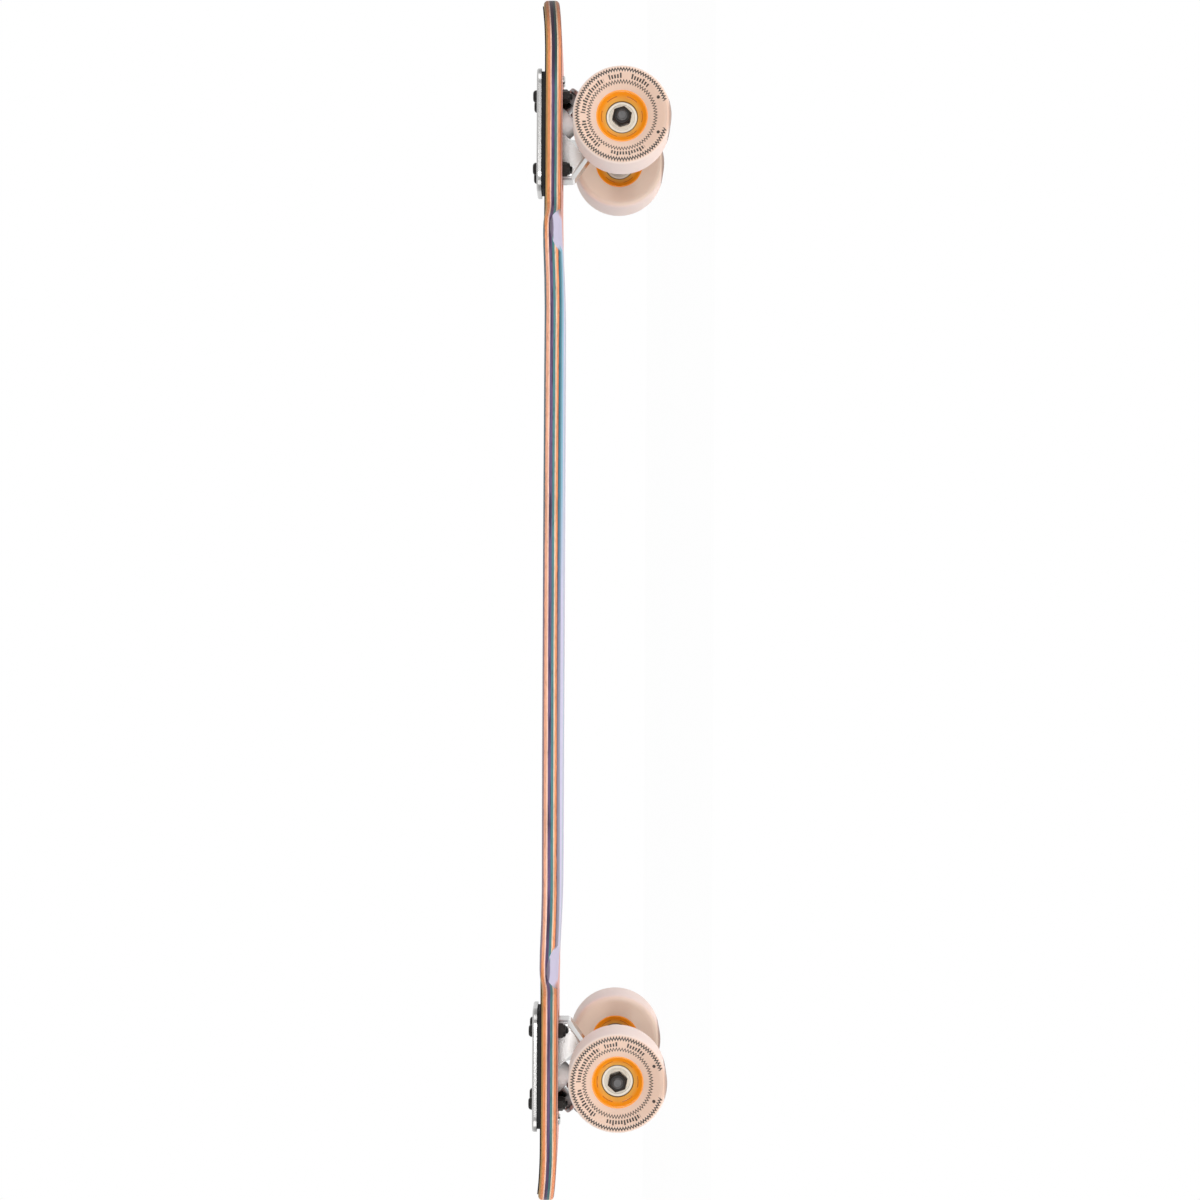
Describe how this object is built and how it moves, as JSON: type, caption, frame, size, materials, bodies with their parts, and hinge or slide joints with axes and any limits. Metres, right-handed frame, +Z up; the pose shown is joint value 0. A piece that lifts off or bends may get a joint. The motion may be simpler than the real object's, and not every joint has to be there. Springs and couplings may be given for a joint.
{
  "type": "longboard skateboard",
  "caption": "Drop-through longboard with a pressed concave deck, leaning reverse-kingpin trucks and soft free-rolling wheels on shielded bearings.",
  "frame": {"origin": "on the ground under the middle of the board", "axes": "+X to the nose, +Y to the left, +Z up from the ground the wheels stand on"},
  "size_m": [0.894, 0.257, 0.1003],
  "materials": {
    "deck_wood": "satin lacquer",
    "grip": "coarse grit",
    "riser_rubber": "matt",
    "truck_alloy": "polished",
    "steel": "satin",
    "black_hardware": "black oxide",
    "bushing_white": "satin",
    "bushing_grey": "satin",
    "pivot_plastic": "satin",
    "wheel_urethane": "satin, cast",
    "core_plastic": "gloss",
    "shield_cream": "satin"
  },
  "bodies": {
    "board": {"deck": "deck_wood", "grip_tape": "grip", "front_riser": "riser_rubber", "front_baseplate": "truck_alloy", "front_pivot_cup": "pivot_plastic", "front_kingpin": "steel", "front_boardside_bushing": "bushing_white", "front_roadside_bushing": "bushing_grey", "front_cup_washer": "steel", "front_kingpin_nut": "black_hardware", "front_mounting_bolts": "black_hardware", "front_mounting_nuts": "black_hardware", "rear_riser": "riser_rubber", "rear_baseplate": "truck_alloy", "rear_pivot_cup": "pivot_plastic", "rear_kingpin": "steel", "rear_boardside_bushing": "bushing_white", "rear_roadside_bushing": "bushing_grey", "rear_cup_washer": "steel", "rear_kingpin_nut": "black_hardware", "rear_mounting_bolts": "black_hardware", "rear_mounting_nuts": "black_hardware"},
    "front_hanger": {"front_hanger": "truck_alloy", "front_axle": "steel", "front_axle_nuts": "black_hardware", "front_speed_washers": "steel", "front_bearing_inner_rings": "steel", "front_bearing_spacers": "steel"},
    "front_left_wheel": {"front_left_tyre": "wheel_urethane", "front_left_core": "core_plastic", "front_left_bearing_outer_rings": "steel", "front_left_bearing_shields": "shield_cream", "front_left_bearing_balls": "steel"},
    "front_right_wheel": {"front_right_tyre": "wheel_urethane", "front_right_core": "core_plastic", "front_right_bearing_outer_rings": "steel", "front_right_bearing_shields": "shield_cream", "front_right_bearing_balls": "steel"},
    "rear_hanger": {"rear_hanger": "truck_alloy", "rear_axle": "steel", "rear_axle_nuts": "black_hardware", "rear_speed_washers": "steel", "rear_bearing_inner_rings": "steel", "rear_bearing_spacers": "steel"},
    "rear_left_wheel": {"rear_left_tyre": "wheel_urethane", "rear_left_core": "core_plastic", "rear_left_bearing_outer_rings": "steel", "rear_left_bearing_shields": "shield_cream", "rear_left_bearing_balls": "steel"},
    "rear_right_wheel": {"rear_right_tyre": "wheel_urethane", "rear_right_core": "core_plastic", "rear_right_bearing_outer_rings": "steel", "rear_right_bearing_shields": "shield_cream", "rear_right_bearing_balls": "steel"}
  },
  "joints": [
    {"name": "front_steer", "type": "hinge", "parent": "board", "child": "front_hanger", "pos_m": [0.34839, 0, 0.05483], "axis": [0.7071, 0, 0.7071], "range_deg": [-15, 15], "stiffness_Nm_per_rad": 40, "deforming": ["front_boardside_bushing", "front_roadside_bushing"]},
    {"name": "front_left_spin", "type": "hinge", "parent": "front_hanger", "child": "front_left_wheel", "pos_m": [0.342, 0.103, 0.035], "axis": [0, 1, 0], "continuous": true},
    {"name": "front_right_spin", "type": "hinge", "parent": "front_hanger", "child": "front_right_wheel", "pos_m": [0.342, -0.103, 0.035], "axis": [0, 1, 0], "continuous": true},
    {"name": "rear_steer", "type": "hinge", "parent": "board", "child": "rear_hanger", "pos_m": [-0.34839, 0, 0.05483], "axis": [-0.7071, 0, 0.7071], "range_deg": [-15, 15], "stiffness_Nm_per_rad": 40, "deforming": ["rear_boardside_bushing", "rear_roadside_bushing"]},
    {"name": "rear_left_spin", "type": "hinge", "parent": "rear_hanger", "child": "rear_left_wheel", "pos_m": [-0.342, 0.103, 0.035], "axis": [0, 1, 0], "continuous": true},
    {"name": "rear_right_spin", "type": "hinge", "parent": "rear_hanger", "child": "rear_right_wheel", "pos_m": [-0.342, -0.103, 0.035], "axis": [0, 1, 0], "continuous": true}
  ]
}
